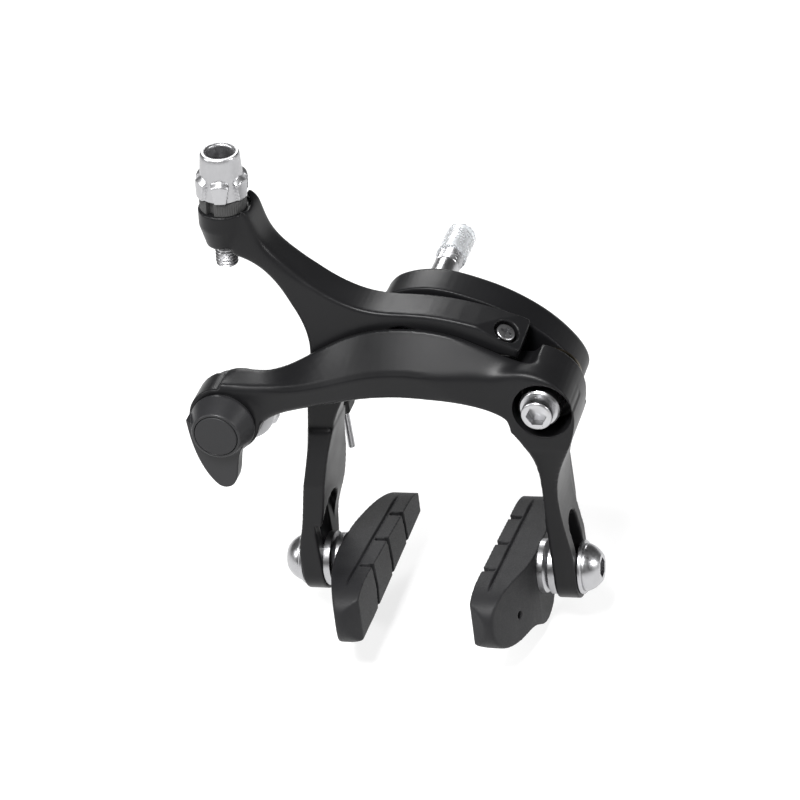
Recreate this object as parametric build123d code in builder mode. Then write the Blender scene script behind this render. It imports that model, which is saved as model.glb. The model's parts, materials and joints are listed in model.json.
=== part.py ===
"""Dual-pivot side-pull rim brake caliper, long reach (57 mm), all sizes in millimetres.

Origin: on the axis of the centre bolt, in the plane where the rear washer bears on the fork.
+X is to the right seen from the front, +Y points back into the fork, +Z is up.
"Depth" below is the distance in front of that plane, so a depth of 24 is at Y = -24.
"""
import math
import os

from build123d import *

os.makedirs("parts", exist_ok=True)

# ---- layout ---------------------------------------------------------------
SIDE_PIVOT_X = 29.6
SIDE_PIVOT_Z = -10.2
QR_X = -41.0
QR_Z = -13.0
STUD_DEPTH = 21.0
REACH = 57.0
SLOT_TOP_REACH = 45.5
SLOT_LOW_REACH = 57.5
SLOT_WIDTH = 6.4
FLAT_WIDTH = 13.0
LEG_INNER = 26.75
LEG_OUTER = 31.75
LEG_FRONT = 27.5
LEG_REAR = 14.8
LEFT_LEG_REAR = 9.0
RIGHT_LEG_REAR = 11.4
LINK_RATIO = 0.55
LINK_X = SIDE_PIVOT_X * LINK_RATIO
LINK_Z = SIDE_PIVOT_Z * LINK_RATIO

# ---- depth of each layer in front of the fork -------------------------------
SEAT_WASHER_T = 2.5
HOLDER_FRONT = 8.0
BRACKET_FRONT = 14.0
REAR_ARM_BACK = 14.6
REAR_ARM_FRONT = 24.0
FRONT_ARM_BACK = 24.6
FRONT_ARM_FRONT = 32.0

# ---- centre bolt ------------------------------------------------------------
M6_R = 2.95
CORE_R = 2.75
SHANK_R = 3.2
JOURNAL_R = 3.0
RUN = 0.04
BOLT_TIP = 26.0
CAP_START = 16.5
CAP_END = 27.3
CAP_R = 3.45
NUT_FLATS = 10.0

# ---- spring and its holder ---------------------------------------------------
SPOOL_CORE_R = 4.7
SPOOL_FLANGE_R = 6.8
WIRE_R = 0.8
WIRE_DEPTH = 5.2

# ---- barrel adjuster --------------------------------------------------------
ADJ_X = -36.75
ADJ_DEPTH = 20.5
ADJ_Z = 30.0
ADJ_LEAN = 6.6
ADJ_BOSS_LOW = -4.4
ADJ_BOSS_TOP = 4.45
ADJ_RING_TOP = 7.5
ADJ_SKIRT_LOW = 7.8
ADJ_TAIL = -9.8
ADJ_TOP = 17.8
ADJ_SKIRT_R = 5.7
ADJ_THREAD_R = 2.45
ADJ_TOP_R = 4.2
FERRULE_R = 3.0
FERRULE_DEPTH = 9.0
CABLE_R = 1.1

# ---- shoes ------------------------------------------------------------------
PAD_X = 12.6
PAD_SEAM_X = 15.9
PAD_BACK_X = 22.8
PAD_PITCH = 6.5
SHOE_LENGTH = 54.0
PAD_TOP = 5.4
PAD_LOW = -4.0
WASHER_R = 6.0


def front_plane(depth):
    return Plane.XZ.offset(depth)


def side_plane(x):
    """Plane facing +X whose local x runs along -Y (forwards) and local y along +Z."""
    return Plane(origin=(x, 0, 0), x_dir=(0, -1, 0), z_dir=(-1, 0, 0))


def adjuster_plane(along):
    lean = math.radians(ADJ_LEAN)
    direction = Vector(math.sin(lean), 0, math.cos(lean))
    start = Vector(ADJ_X, -ADJ_DEPTH, ADJ_Z) + direction * along
    return Plane(origin=start, x_dir=(math.cos(lean), 0, -math.sin(lean)), z_dir=direction)


def round_edges(builder, edges, radius):
    """Round the edges at the wanted radius, or at the largest smaller one that builds."""
    for share in (1.0, 0.75, 0.5, 0.3):
        try:
            builder.part = builder.part.fillet(radius * share, edges)
            return
        except ValueError:
            continue


def round_face(builder, face, radius):
    round_edges(builder, face.edges(), radius)


# ---- rear bracket: plate behind the arms, with a hood over the spring ----------------
BRACKET_OUTLINE = ((-4.0, 9.2), (0.6, 10.3), (6.0, 10.2), (12.0, 8.6), (17.6, 6.4), (24.0, 2.8),
                   (28.6, -0.8), (32.4, -5.0), (34.8, -9.0), (35.4, -12.6), (33.6, -15.4),
                   (29.6, -16.6), (25.0, -15.2), (20.0, -11.4), (13.0, -8.6), (6.0, -9.0),
                   (0.0, -10.0), (-6.0, -8.2), (-9.0, -3.2), (-8.4, 4.4))
HOOD_REAR = 3.8
with BuildPart() as rear_bracket:
    with BuildSketch(front_plane(HOOD_REAR)):
        with BuildLine():
            Spline(*BRACKET_OUTLINE, periodic=True)
        make_face()
    extrude(amount=BRACKET_FRONT - HOOD_REAR)
    round_face(rear_bracket, rear_bracket.faces().sort_by(Axis.Y)[-1], 2.6)
    round_face(rear_bracket, rear_bracket.faces().sort_by(Axis.Y)[0], 0.4)
    # room for the spring and its holder, open below
    with BuildSketch(front_plane(0)):
        Circle(SPOOL_FLANGE_R + 0.3)
        with BuildLine():
            Polyline((-14.0, -30.0), (-14.0, 6.4), (-3.0, 6.4), (6.0, 5.2), (16.0, 2.4),
                     (24.0, -1.8), (30.4, -5.3), (32.9, -7.4), (33.9, -10.2), (33.9, -30.0),
                     close=True)
        make_face()
    extrude(amount=HOLDER_FRONT, mode=Mode.SUBTRACT)
    with BuildSketch(front_plane(0)):
        Circle(SHANK_R + 0.1)
    extrude(amount=BRACKET_FRONT + 1, mode=Mode.SUBTRACT)
    with BuildSketch(front_plane(HOLDER_FRONT)):
        RegularPolygon(5.25, 6)
    extrude(amount=1.6, mode=Mode.SUBTRACT)
    with BuildSketch(front_plane(HOLDER_FRONT - 1)):
        with Locations((SIDE_PIVOT_X, SIDE_PIVOT_Z)):
            Circle(2.5)
    extrude(amount=BRACKET_FRONT, mode=Mode.SUBTRACT)

# ---- centre bolt: threaded tail, hex collar set in the bracket, journal for the arm ------
with BuildPart() as centre_bolt:
    with BuildSketch(Plane.XY):
        with BuildLine():
            Polyline((0, BOLT_TIP), (CORE_R - 0.7, BOLT_TIP), (CORE_R, BOLT_TIP - 0.8),
                     (CORE_R, CAP_START), (M6_R, CAP_START), (M6_R, 0), (SHANK_R, 0),
                     (SHANK_R, -BRACKET_FRONT), (JOURNAL_R, -BRACKET_FRONT),
                     (JOURNAL_R, -21.2), (M6_R, -21.2), (M6_R, -23.5), (M6_R - 0.4, -REAR_ARM_FRONT),
                     (0, -REAR_ARM_FRONT), close=True)
        make_face()
    revolve(axis=Axis.Y)
    with BuildSketch(front_plane(HOLDER_FRONT)):
        RegularPolygon(5.2, 6)
    extrude(amount=1.5)

with BuildPart() as rear_seat_washer:
    with BuildSketch(front_plane(0)):
        Circle(6.2)
        Circle(SHANK_R + 0.1, mode=Mode.SUBTRACT)
    extrude(amount=SEAT_WASHER_T)
    outer = rear_seat_washer.edges().filter_by(GeomType.CIRCLE).sort_by(SortBy.RADIUS)[-2:]
    chamfer(outer, 0.4)
    with BuildSketch(front_plane(0)):
        with PolarLocations(5.7, 24):
            Rectangle(1.6, 0.55)
    extrude(amount=0.5, mode=Mode.SUBTRACT)

# ---- spring holder: a two-flange plastic spool behind the bracket --------------------
with BuildPart() as spring_holder:
    with BuildSketch(front_plane(SEAT_WASHER_T)):
        Circle(SPOOL_FLANGE_R)
    extrude(amount=1.5)
    with BuildSketch(front_plane(SEAT_WASHER_T)):
        Circle(SPOOL_CORE_R)
    extrude(amount=HOLDER_FRONT - SEAT_WASHER_T)
    with BuildSketch(front_plane(HOLDER_FRONT - 1.5)):
        Circle(SPOOL_FLANGE_R)
    extrude(amount=1.5)
    with BuildSketch(front_plane(0)):
        Circle(SHANK_R + 0.1)
    extrude(amount=HOLDER_FRONT + 1, mode=Mode.SUBTRACT)

WIRE_LEFT_X = -23.2
WIRE_RIGHT_X = 23.4
with BuildPart() as return_spring:
    with BuildLine() as wire_path:
        Line((WIRE_LEFT_X, -WIRE_DEPTH, -37.0), (WIRE_LEFT_X, -WIRE_DEPTH, -24.0))
        Spline((WIRE_LEFT_X, -WIRE_DEPTH, -24.0), (-16.0, -WIRE_DEPTH, -6.0),
               (-8.4, -WIRE_DEPTH, 3.4), (0, -WIRE_DEPTH, SPOOL_CORE_R + WIRE_R + 0.1),
               (8.4, -WIRE_DEPTH, 2.2), (17.0, -WIRE_DEPTH, -9.5),
               (WIRE_RIGHT_X, -WIRE_DEPTH, -26.0),
               tangents=((0, 0, 1), (0.1, 0, -1)))
        Line((WIRE_RIGHT_X, -WIRE_DEPTH, -26.0), (WIRE_RIGHT_X + 0.9, -WIRE_DEPTH, -35.0))
    with BuildSketch(Plane(origin=(WIRE_LEFT_X, -WIRE_DEPTH, -37.0), z_dir=(0, 0, 1))):
        Circle(WIRE_R)
    sweep(path=wire_path.line)

# ---- washers and nuts on the centre bolt -------------------------------------------
with BuildPart() as rear_thrust_washer:
    with BuildSketch(front_plane(BRACKET_FRONT + 0.03)):
        Circle(7.0)
        Circle(JOURNAL_R + 0.06, mode=Mode.SUBTRACT)
    extrude(amount=0.5)

NUT_SEAT = 20.4
with BuildPart() as front_thrust_washer:
    with BuildSketch(front_plane(NUT_SEAT + 0.05)):
        Circle(6.6)
        Circle(JOURNAL_R + 0.06, mode=Mode.SUBTRACT)
    extrude(amount=0.7)

with BuildPart() as centre_nut:
    with BuildSketch(front_plane(NUT_SEAT + 0.8)):
        RegularPolygon(NUT_FLATS / 2, 6, major_radius=False)
        Circle(M6_R + 0.02, mode=Mode.SUBTRACT)
    extrude(amount=2.6)

# ---- rear arm (cable adjuster at the top, left shoe at the bottom) ----------------------
END_SLOPE = Plane(origin=(26.4, -14.6, 3.2), z_dir=(0.547, -0.248, 0.800))
with BuildPart() as rear_arm:
    with BuildSketch(front_plane(REAR_ARM_BACK)):
        with BuildLine():
            Spline((-32.0, 35.6), (-30.2, 33.8), (-29.4, 31.4), (-28.0, 27.0), (-23.6, 21.3),
                   (-18.8, 16.8), (-14.2, 13.5), (-9.4, 11.2), (-4.6, 10.1), (0.0, 9.8),
                   (6.0, 9.4), (12.5, 8.2),
                   (20.0, 6.0), (26.4, 3.6))
            Line((26.4, 3.6), (24.6, -1.2))
            Spline((24.6, -1.2), (18.0, -0.4), (12.5, -2.5), (8.0, -6.0))
            Spline((8.0, -6.0), (0.0, -9.6), (-8.0, -8.4), (-13.6, -9.8), (-17.2, -14.4),
                   (-19.9, -20.6), (-21.9, -28.0))
            Line((-21.9, -28.0), (-27.2, -28.0))
            Spline((-27.2, -28.0), (-25.9, -21.0), (-24.3, -12.0), (-22.4, -4.0), (-21.6, 2.0),
                   (-22.7, 8.4), (-24.8, 13.4), (-27.4, 17.8), (-30.6, 21.2), (-35.6, 23.8))
            Line((-35.6, 23.8), (-32.0, 35.6))
        make_face()
    extrude(amount=REAR_ARM_FRONT - REAR_ARM_BACK)
    round_face(rear_arm, rear_arm.faces().sort_by(Axis.Y)[0], 0.8)
    round_face(rear_arm, rear_arm.faces().sort_by(Axis.Y)[-1], 0.8)
    # leg carrying the shoe
    with BuildSketch(front_plane(LEFT_LEG_REAR)):
        with BuildLine():
            Spline((-19.4, -20.0), (-21.2, -26.0), (-22.4, -31.5), (-23.4, -37.0),
                   (-24.8, -43.0), (-LEG_INNER, -51.0), tangents=((-0.3, -1), (0, -1)))
            Line((-LEG_INNER, -51.0), (-LEG_INNER, -68.0))
            Line((-LEG_INNER, -68.0), (-LEG_OUTER, -68.0))
            Line((-LEG_OUTER, -68.0), (-LEG_OUTER, -54.0))
            Spline((-LEG_OUTER, -54.0), (-30.0, -45.0), (-28.4, -37.0), (-26.8, -29.0),
                   (-25.2, -20.0), tangents=((0, 1), (0.15, 1)))
            Line((-25.2, -20.0), (-19.4, -20.0))
        make_face()
    extrude(amount=LEG_FRONT - LEFT_LEG_REAR)
    # side profile of the leg: slim at the crossing, full depth at the slot, round end
    with BuildSketch(side_plane(-12.0)):
        with BuildLine():
            Line((LEG_REAR - 0.7, 40.0), (LEG_REAR - 0.7, -19.0))
            Spline((LEG_REAR - 0.7, -19.0), (LEFT_LEG_REAR + 1.6, -28.0), (LEFT_LEG_REAR, -36.0),
                   (LEFT_LEG_REAR + 1.2, -47.0), (LEG_REAR - 0.7, -REACH - 0.5))
            ThreePointArc((LEG_REAR - 0.7, -REACH - 0.5), (STUD_DEPTH, -REACH - 7.0),
                          (LEG_FRONT, -REACH - 0.5))
            Line((LEG_FRONT, -REACH - 0.5), (LEG_FRONT, -33.0))
            Spline((LEG_FRONT, -33.0), (25.9, -25.0), (REAR_ARM_FRONT, -17.0))
            Polyline((REAR_ARM_FRONT, -17.0), (REAR_ARM_FRONT + 1, 40.0), (LEG_REAR - 0.7, 40.0))
        make_face()
    extrude(amount=60.0, both=True, mode=Mode.INTERSECT)
    # boss for the barrel adjuster
    with BuildSketch(adjuster_plane(ADJ_BOSS_LOW)):
        Circle(4.1)
    with BuildSketch(adjuster_plane(0.6)):
        Circle(5.5)
    loft()
    with BuildSketch(adjuster_plane(0.6)):
        Circle(5.5)
    extrude(amount=ADJ_BOSS_TOP - 0.6)
    with BuildSketch(adjuster_plane(ADJ_BOSS_TOP)):
        Circle(ADJ_SKIRT_R + 0.15)
    extrude(amount=20.0, mode=Mode.SUBTRACT)
    with BuildSketch(adjuster_plane(ADJ_TAIL - 1)):
        Circle(ADJ_THREAD_R + RUN)
    extrude(amount=20.0, mode=Mode.SUBTRACT)
    # pad for the link pin, only in the front part of the arm
    with BuildSketch(front_plane(21.4)):
        with Locations((LINK_X, LINK_Z)):
            Circle(4.0)
        with BuildLine():
            Polyline((LINK_X - 4, LINK_Z), (LINK_X - 6, 4.0), (LINK_X + 4, 4.0),
                     (LINK_X + 4, LINK_Z), close=True)
        make_face()
    extrude(amount=REAR_ARM_FRONT - 21.4)
    with BuildSketch(front_plane(20.0)):
        with Locations((LINK_X, LINK_Z)):
            Circle(1.5)
    extrude(amount=10, mode=Mode.SUBTRACT)
    # top face slopes down at the right-hand end
    with BuildSketch(END_SLOPE):
        Rectangle(40.0, 40.0)
    extrude(amount=20.0, mode=Mode.SUBTRACT)
    # bore for the bushing, pocket for the nut
    with BuildSketch(front_plane(REAR_ARM_BACK - 1)):
        Circle(4.5)
    extrude(amount=20, mode=Mode.SUBTRACT)
    with BuildSketch(front_plane(NUT_SEAT)):
        Circle(6.7)
    extrude(amount=10, mode=Mode.SUBTRACT)
    # slot for the shoe stud, and the flat its washer slides on
    with BuildSketch(side_plane(-25.0)):
        with Locations((STUD_DEPTH, -(SLOT_TOP_REACH + SLOT_LOW_REACH) / 2)):
            SlotCenterToCenter(SLOT_LOW_REACH - SLOT_TOP_REACH, SLOT_WIDTH, rotation=90)
    extrude(amount=12, both=True, mode=Mode.SUBTRACT)
    with BuildSketch(side_plane(-LEG_INNER)):
        with Locations((STUD_DEPTH, -(SLOT_TOP_REACH + SLOT_LOW_REACH) / 2)):
            SlotCenterToCenter(SLOT_LOW_REACH - SLOT_TOP_REACH, FLAT_WIDTH, rotation=90)
    extrude(amount=-12, mode=Mode.SUBTRACT)

# ---- pieces carried by the rear arm ---------------------------------------------------
with BuildPart() as arm_bushing:
    with BuildSketch(front_plane(REAR_ARM_BACK)):
        Circle(4.5)
        Circle(JOURNAL_R + RUN, mode=Mode.SUBTRACT)
    extrude(amount=NUT_SEAT - REAR_ARM_BACK)

LINK_TIP = 27.8
with BuildPart() as link_pin:
    with BuildSketch(front_plane(21.4)):
        with Locations((LINK_X, LINK_Z)):
            Circle(1.5)
    extrude(amount=LINK_TIP - 21.4)

with BuildPart() as link_slider:
    with BuildSketch(front_plane(25.2)):
        with Locations((LINK_X, LINK_Z)):
            Circle(2.4)
            Circle(1.5, mode=Mode.SUBTRACT)
    extrude(amount=LINK_TIP - 25.2)

SCREW_X = 22.4
SCREW_Z = 4.05
SCREW_DEPTH = 20.7


def screw_plane(along):
    """Plane across the centring screw, which stands square on the sloping face."""
    direction = END_SLOPE.z_dir
    start = Vector(SCREW_X, -SCREW_DEPTH, SCREW_Z) + direction * along
    return Plane(origin=start, x_dir=(0, -1, 0), z_dir=direction)


with BuildPart() as centring_screw:
    with BuildSketch(screw_plane(-2.0)):
        Circle(2.1)
    extrude(amount=1.7)
    round_edges(centring_screw, centring_screw.edges().group_by(Axis.Z)[-1], 0.4)
    with BuildSketch(screw_plane(-6.2)):
        Circle(1.5)
    extrude(amount=4.6)
    with BuildSketch(screw_plane(-0.2)):
        Rectangle(0.6, 2.5)
        Rectangle(2.5, 0.6)
    extrude(amount=-1.1, mode=Mode.SUBTRACT)

with BuildPart(mode=Mode.PRIVATE) as screw_space:
    with BuildSketch(screw_plane(-2.05)):
        Circle(2.8)
    extrude(amount=8.0)
    with BuildSketch(screw_plane(-12.0)):
        Circle(1.53)
    extrude(amount=12.0)
rear_arm.part = rear_arm.part - screw_space.part

with BuildPart() as spring_slider_left:
    with BuildSketch(front_plane(3.2)):
        with Locations((WIRE_LEFT_X - 1.3, -25.0)):
            RectangleRounded(6.6, 3.6, 0.9)
    extrude(amount=4.4)
    with BuildSketch(front_plane(7.0)):
        with Locations((WIRE_LEFT_X - 0.5, -25.0)):
            Rectangle(3.6, 2.4)
    extrude(amount=REAR_ARM_BACK - 7.0)
    with BuildSketch(Plane.XY.offset(-35)):
        with Locations((WIRE_LEFT_X - 1.3, -WIRE_DEPTH)):
            SlotCenterToCenter(2.8, 2.2)
    extrude(amount=14, mode=Mode.SUBTRACT)

spring_slider_left.part = spring_slider_left.part - rear_arm.part

# ---- front arm (cable anchor at the left, right shoe at the bottom) --------------------
BAR_SECTIONS = (
    # x, height of the rear top edge, of the front crease and of the underside
    (-41.0, -4.6, -4.6, -20.0),
    (-33.0, -4.2, -5.0, -14.6),
    (-24.5, -1.7, -4.8, -10.8),
    (-17.0, 2.4, -3.4, -9.2),
    (-9.0, 5.6, -1.4, -7.7),
    (0.0, 6.8, -0.4, -7.2),
    (8.0, 6.1, -1.2, -7.9),
    (15.0, 4.0, -2.9, -9.4),
    (21.0, 1.4, -4.6, -12.0),
    (26.0, -0.8, -6.4, -15.5),
)
BOSS_R = 8.1
WELL_R = 6.5
WELL_FLOOR = 22.6
HUB_R = 6.0
HUB_STEP = 17.2
SLEEVE_R = 4.5
with BuildPart() as front_arm:
    # boss for the side pivot, blended into the leg
    with BuildSketch(front_plane(LEG_REAR)):
        with BuildLine():
            Spline((20.0, -2.2), (24.0, -1.0), (29.0, -1.2), (33.6, -3.4), (36.6, -7.4),
                   (37.2, -12.0), (36.0, -17.4), (33.4, -23.4), (31.2, -29.0), (30.4, -34.0),
                   (30.6, -41.0), (LEG_OUTER, -50.0))
            Polyline((LEG_OUTER, -50.0), (LEG_OUTER, -68.0), (LEG_INNER, -68.0),
                     (LEG_INNER, -47.0))
            Spline((LEG_INNER, -47.0), (26.7, -40.0), (27.1, -33.0), (27.0, -27.0),
                   (26.0, -21.8), (22.8, -15.6), tangents=((0, 1), (-0.6, 0.8)))
            Line((22.8, -15.6), (20.0, -2.2))
        make_face()
    extrude(amount=30.2 - LEG_REAR)
    with BuildSketch(side_plane(LEG_INNER - 0.4)):
        with BuildLine():
            Line((LEG_REAR + 2, -20.0), (LEG_REAR, -20.0))
            Spline((LEG_REAR, -20.0), (RIGHT_LEG_REAR + 0.6, -29.0), (RIGHT_LEG_REAR, -38.0),
                   (RIGHT_LEG_REAR + 0.8, -48.0), (LEG_REAR, -REACH - 0.5))
            Line((LEG_REAR, -REACH - 0.5), (LEG_REAR + 2, -REACH - 0.5))
            Line((LEG_REAR + 2, -REACH - 0.5), (LEG_REAR + 2, -20.0))
        make_face()
    extrude(amount=-3.6)
    # front of the leg drawn back below the boss, then the round foot
    with BuildSketch(side_plane(30.0)):
        with BuildLine():
            Spline((33.0, -10.0), (30.0, -20.0), (28.2, -29.0), (LEG_FRONT, -38.0))
            Polyline((LEG_FRONT, -38.0), (LEG_FRONT, -72.0), (36.0, -72.0), (36.0, -10.0),
                     (33.0, -10.0))
        make_face()
    extrude(amount=15.0, both=True, mode=Mode.SUBTRACT)
    with BuildSketch(side_plane(30.0)):
        with Locations((STUD_DEPTH, -68.0)):
            Rectangle(18.0, 20.4)
        with Locations((STUD_DEPTH, -REACH - 0.5)):
            Circle(6.5, mode=Mode.SUBTRACT)
        with Locations((STUD_DEPTH, -REACH + 0.6)):
            Rectangle(18.0, 2.4, mode=Mode.SUBTRACT)
    extrude(amount=15.0, both=True, mode=Mode.SUBTRACT)
    # curved bar from the cable end to the pivot
    for x, rear_top, crease, underside in BAR_SECTIONS:
        with BuildSketch(side_plane(x)):
            with BuildLine():
                Polyline((FRONT_ARM_BACK, rear_top), (FRONT_ARM_BACK + 1.2, rear_top + 0.2),
                         (FRONT_ARM_FRONT - 0.8, crease + 0.7), (FRONT_ARM_FRONT, crease - 0.6),
                         (FRONT_ARM_FRONT - 0.6, underside + 1.0),
                         (FRONT_ARM_FRONT - 1.6, underside),
                         (FRONT_ARM_BACK, underside + 0.4), close=True)
            make_face()
    loft()
    # end that carries the quick release
    with BuildSketch(front_plane(FRONT_ARM_BACK)):
        with Locations((QR_X, QR_Z)):
            Circle(BOSS_R - 0.3)
        with Locations((QR_X - 1.1, QR_Z + 0.1)):
            Circle(BOSS_R - 0.3)
    extrude(amount=FRONT_ARM_FRONT - FRONT_ARM_BACK)
    with BuildSketch(front_plane(20)):
        with BuildLine():
            Polyline((-60, 10), (QR_X, 10), (QR_X, QR_Z - BOSS_R - 10), (-60, -40), close=True)
        make_face()
        with Locations((QR_X, QR_Z)):
            Circle(BOSS_R, mode=Mode.SUBTRACT)
    extrude(amount=20, mode=Mode.SUBTRACT)
    # rear half of the boss is kept clear of the rear arm
    with BuildSketch(front_plane(LEG_REAR - 2)):
        with BuildLine():
            Polyline((10.0, -20.0), (19.4, -20.0), (19.4, 14.0), (10.0, 14.0), close=True)
        make_face()
    extrude(amount=FRONT_ARM_BACK - LEG_REAR + 2, mode=Mode.SUBTRACT)
    with BuildSketch(front_plane(20.9)):
        with Locations((LINK_X, LINK_Z)):
            Circle(5.9)
    extrude(amount=FRONT_ARM_BACK - 20.9, mode=Mode.SUBTRACT)
    with BuildSketch(front_plane(LEG_REAR - 2)):
        with BuildLine():
            Polyline((10.0, -2.9), (27.0, -2.9), (28.8, -1.4), (29.8, 14.0), (10.0, 14.0),
                     close=True)
        make_face()
    extrude(amount=FRONT_ARM_BACK - LEG_REAR + 2, mode=Mode.SUBTRACT)
    # the boss steps back from the bracket, leaving a round hub about the pivot
    with BuildSketch(front_plane(LEG_REAR - 2)):
        with BuildLine():
            Polyline((19.0, 14.0), (44.0, 14.0), (44.0, -14.0), (38.0, -18.0), (19.0, -4.0),
                     close=True)
        make_face()
        with Locations((SIDE_PIVOT_X, SIDE_PIVOT_Z)):
            Circle(HUB_R, mode=Mode.SUBTRACT)
    extrude(amount=HUB_STEP - LEG_REAR + 2, mode=Mode.SUBTRACT)
    # well and bore for the side pivot
    with BuildSketch(front_plane(WELL_FLOOR)):
        with Locations((SIDE_PIVOT_X + 0.8, SIDE_PIVOT_Z)):
            Circle(WELL_R)
    extrude(amount=20, mode=Mode.SUBTRACT)
    with BuildSketch(front_plane(0)):
        with Locations((SIDE_PIVOT_X, SIDE_PIVOT_Z)):
            Circle(SLEEVE_R + RUN)
    extrude(amount=40, mode=Mode.SUBTRACT)
    # blind slot that takes the link slider
    with BuildSketch(front_plane(FRONT_ARM_BACK - 5)):
        with Locations((LINK_X, LINK_Z)):
            SlotCenterToCenter(1.6, 5.0, rotation=-19.0)
    extrude(amount=8.6, mode=Mode.SUBTRACT)
    # bore for the quick-release axle
    with BuildSketch(front_plane(0)):
        with Locations((QR_X, QR_Z)):
            Circle(JOURNAL_R + RUN)
    extrude(amount=50, mode=Mode.SUBTRACT)
    # slot for the shoe stud
    with BuildSketch(side_plane(40.0)):
        with Locations((STUD_DEPTH, -(SLOT_TOP_REACH + SLOT_LOW_REACH) / 2)):
            SlotCenterToCenter(SLOT_LOW_REACH - SLOT_TOP_REACH, SLOT_WIDTH, rotation=90)
    extrude(amount=20, mode=Mode.SUBTRACT)
    with BuildSketch(side_plane(LEG_INNER)):
        with Locations((STUD_DEPTH, -(SLOT_TOP_REACH + SLOT_LOW_REACH) / 2)):
            SlotCenterToCenter(SLOT_LOW_REACH - SLOT_TOP_REACH, FLAT_WIDTH, rotation=90)
    extrude(amount=4, mode=Mode.SUBTRACT)

with BuildPart() as spring_slider_right:
    with BuildSketch(front_plane(3.2)):
        with Locations((25.4, -31.0)):
            RectangleRounded(6.6, 4.6, 1.0)
    extrude(amount=RIGHT_LEG_REAR + 1.0 - 3.2)
    with BuildSketch(Plane.XY.offset(-38)):
        with Locations((25.0, -WIRE_DEPTH)):
            SlotCenterToCenter(2.6, 2.2)
    extrude(amount=14, mode=Mode.SUBTRACT)

spring_slider_right.part = spring_slider_right.part - front_arm.part

# ---- side pivot --------------------------------------------------------------------------
HEAD_FACE = 32.0
with BuildPart() as side_pivot_bolt:
    with BuildSketch(front_plane(6.0)):
        with Locations((SIDE_PIVOT_X, SIDE_PIVOT_Z)):
            Circle(2.45)
    extrude(amount=29.2 - 6.0)
    with BuildSketch(front_plane(29.2)):
        with Locations((SIDE_PIVOT_X, SIDE_PIVOT_Z)):
            Circle(3.4)
    extrude(amount=HEAD_FACE - 29.2)
    round_edges(side_pivot_bolt, side_pivot_bolt.faces().sort_by(Axis.Y)[0].edges(), 0.5)
    with BuildSketch(front_plane(HEAD_FACE)):
        with Locations((SIDE_PIVOT_X, SIDE_PIVOT_Z)):
            RegularPolygon(2.0, 6, major_radius=False)
    extrude(amount=-2.0, mode=Mode.SUBTRACT)

with BuildPart() as side_pivot_sleeve:
    with BuildSketch(front_plane(BRACKET_FRONT)):
        with Locations((SIDE_PIVOT_X, SIDE_PIVOT_Z)):
            Circle(SLEEVE_R)
            Circle(2.5, mode=Mode.SUBTRACT)
    extrude(amount=29.2 - BRACKET_FRONT)
    front_ring = side_pivot_sleeve.faces().sort_by(Axis.Y)[0].edges()
    chamfer(front_ring.sort_by(SortBy.RADIUS)[-1], 0.4)

with BuildPart() as side_pivot_washer:
    with BuildSketch(front_plane(BRACKET_FRONT + 0.1)):
        with Locations((SIDE_PIVOT_X, SIDE_PIVOT_Z)):
            Circle(6.2)
            Circle(SLEEVE_R + 0.06, mode=Mode.SUBTRACT)
    extrude(amount=0.6)

with BuildPart() as side_pivot_nut:
    with BuildSketch(front_plane(4.0)):
        with Locations((SIDE_PIVOT_X, SIDE_PIVOT_Z)):
            RegularPolygon(3.5, 6, major_radius=False)
            Circle(2.45, mode=Mode.SUBTRACT)
    extrude(amount=4.0)

# ---- quick release and cable anchor -----------------------------------------------------------
LEVER_BACK = 32.6
LEVER_FRONT = 38.2
with BuildPart() as quick_release_lever:
    with BuildSketch(Plane.XY):
        with BuildLine():
            Polyline((0, -LEVER_BACK), (7.2, -LEVER_BACK), (7.3, -LEVER_BACK - 0.8),
                     (5.6, -LEVER_FRONT + 0.3), (5.4, -LEVER_FRONT), (0, -LEVER_FRONT), close=True)
        make_face()
    revolve(axis=Axis.Y)
    with BuildSketch(front_plane(LEVER_BACK + 0.4)):
        with BuildLine():
            Spline((-7.0, 2.8), (-6.6, -3.0), (-5.4, -8.4), (-3.4, -12.6), (-1.4, -14.4),
                   (0.8, -14.0), (2.4, -11.4), (3.4, -7.2), (5.0, -4.0))
            Line((5.0, -4.0), (-7.0, 2.8))
        make_face()
    extrude(amount=3.6)
    round_edges(quick_release_lever, quick_release_lever.edges().filter_by_position(
        Axis.Z, -16, -7.9), 1.0)
    with BuildSketch(front_plane(LEVER_FRONT)):
        Circle(4.9)
    extrude(amount=-1.2, mode=Mode.SUBTRACT)
    with BuildSketch(front_plane(0)):
        Circle(JOURNAL_R)
    extrude(amount=50, mode=Mode.SUBTRACT)
quick_release_lever.part = quick_release_lever.part.moved(Location((QR_X, 0, QR_Z)))

with BuildPart() as lever_cap:
    with BuildSketch(front_plane(LEVER_FRONT - 1.2)):
        with Locations((QR_X, QR_Z)):
            Circle(4.8)
    extrude(amount=1.35)
    round_edges(lever_cap, lever_cap.faces().sort_by(Axis.Y)[0].edges(), 0.3)

with BuildPart() as lever_washer:
    with BuildSketch(front_plane(FRONT_ARM_FRONT)):
        with Locations((QR_X, QR_Z)):
            Circle(6.6)
            Circle(JOURNAL_R + 0.06, mode=Mode.SUBTRACT)
    extrude(amount=0.55)

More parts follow.
